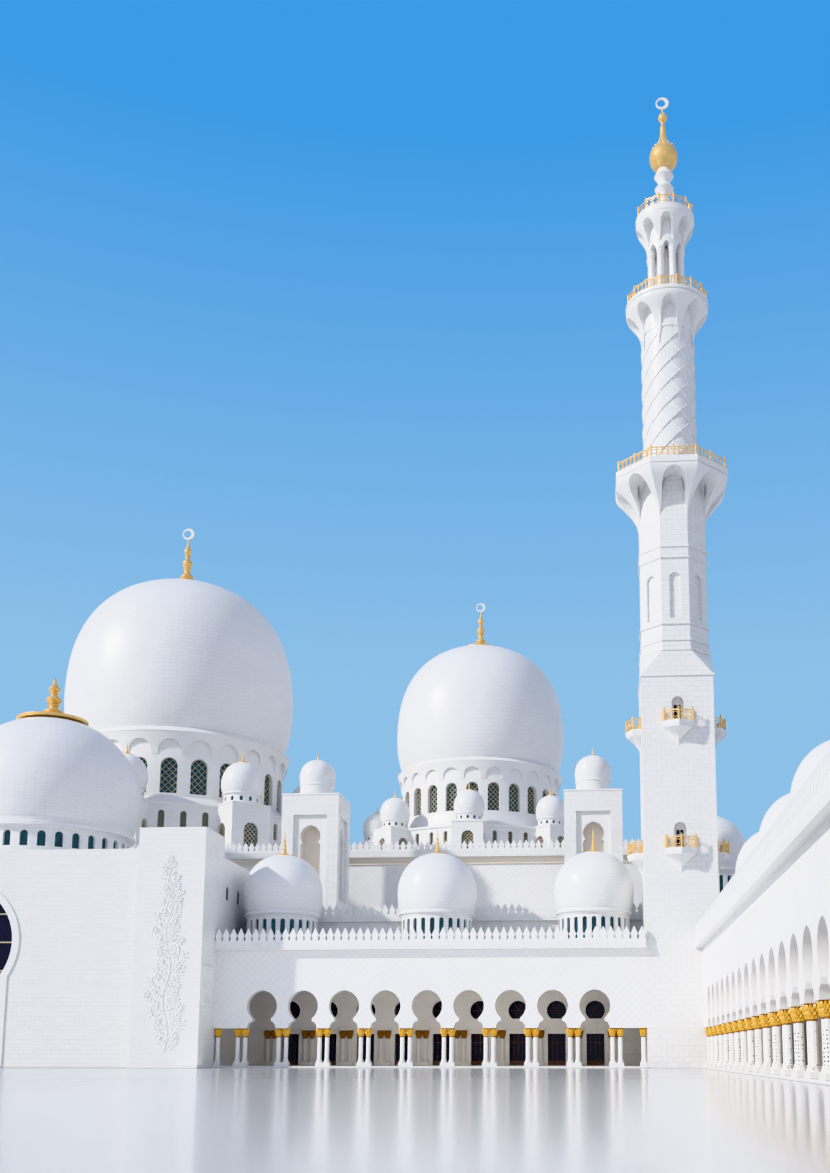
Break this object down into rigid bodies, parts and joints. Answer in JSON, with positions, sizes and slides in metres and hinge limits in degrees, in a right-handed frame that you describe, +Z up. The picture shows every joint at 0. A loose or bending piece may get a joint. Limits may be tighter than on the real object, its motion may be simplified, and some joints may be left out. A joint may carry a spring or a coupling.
{
  "type": "mosque building, scale model 1:10",
  "caption": "White marble mosque at 1:10: prayer hall with great domes, entrance block, domed keyhole arcades round a court corner, and a tall minaret with gilt galleries.",
  "frame": {"origin": "centre of the footprint's bounding box at ground level", "axes": "+X along the front arcade towards the minaret, +Y back from the court into the prayer hall, +Z up"},
  "size_m": [11.095, 15.91, 10.734],
  "materials": {
    "white_marble": "honed white marble blocks with fine joints",
    "dome_marble": "honed white marble laid in thin rings",
    "floor_marble": "polished pale marble",
    "gilt_metal": "bright gold leaf on metal",
    "dark_glass": "dark patterned glass"
  },
  "bodies": {
    "root": {"front_arcade_wall": "white_marble", "front_columns": "white_marble", "front_roof": "white_marble", "front_parapet": "white_marble", "side_arcade_wall": "white_marble", "side_columns": "white_marble", "side_roof": "white_marble", "side_back_wall": "white_marble", "side_parapet": "white_marble", "gallery_back_wall": "white_marble", "lower_hall_corner_wall": "white_marble", "lower_hall_roof": "white_marble", "lower_hall_parapet": "white_marble", "tower_left": "white_marble", "tower_right": "white_marble", "upper_hall_walls": "white_marble", "upper_hall_front_wall": "white_marble", "upper_hall_roof": "white_marble", "upper_hall_parapet": "white_marble", "second_dome_base": "white_marble", "second_dome_drum": "white_marble", "main_dome_base": "white_marble", "main_dome_drum": "white_marble", "portal_pier_left": "white_marble", "portal_pier_right": "white_marble", "portal_front_wall": "white_marble", "portal_right_wall": "white_marble", "portal_left_wall": "white_marble", "portal_roof": "white_marble", "minaret_square_shaft": "white_marble", "minaret_transition": "white_marble", "minaret_octagon": "white_marble", "minaret_first_gallery": "white_marble", "minaret_round_shaft": "white_marble", "minaret_second_gallery": "white_marble", "minaret_lantern": "white_marble", "minaret_third_gallery": "white_marble", "front_dome_1": "dome_marble", "front_dome_2": "dome_marble", "front_dome_3": "dome_marble", "side_dome_1": "dome_marble", "side_dome_2": "dome_marble", "side_dome_3": "dome_marble", "side_dome_4": "dome_marble", "side_dome_5": "dome_marble", "corner_dome": "dome_marble", "second_dome_shell": "dome_marble", "main_dome_shell": "dome_marble", "portal_dome": "dome_marble", "ground_floor": "floor_marble", "second_dome_finial": "gilt_metal", "main_dome_finial": "gilt_metal", "minaret_first_rail": "gilt_metal", "minaret_second_rail": "gilt_metal", "minaret_third_rail": "gilt_metal", "minaret_finial": "gilt_metal", "gallery_glass": "dark_glass", "portal_glass": "dark_glass"}
  },
  "joints": []
}
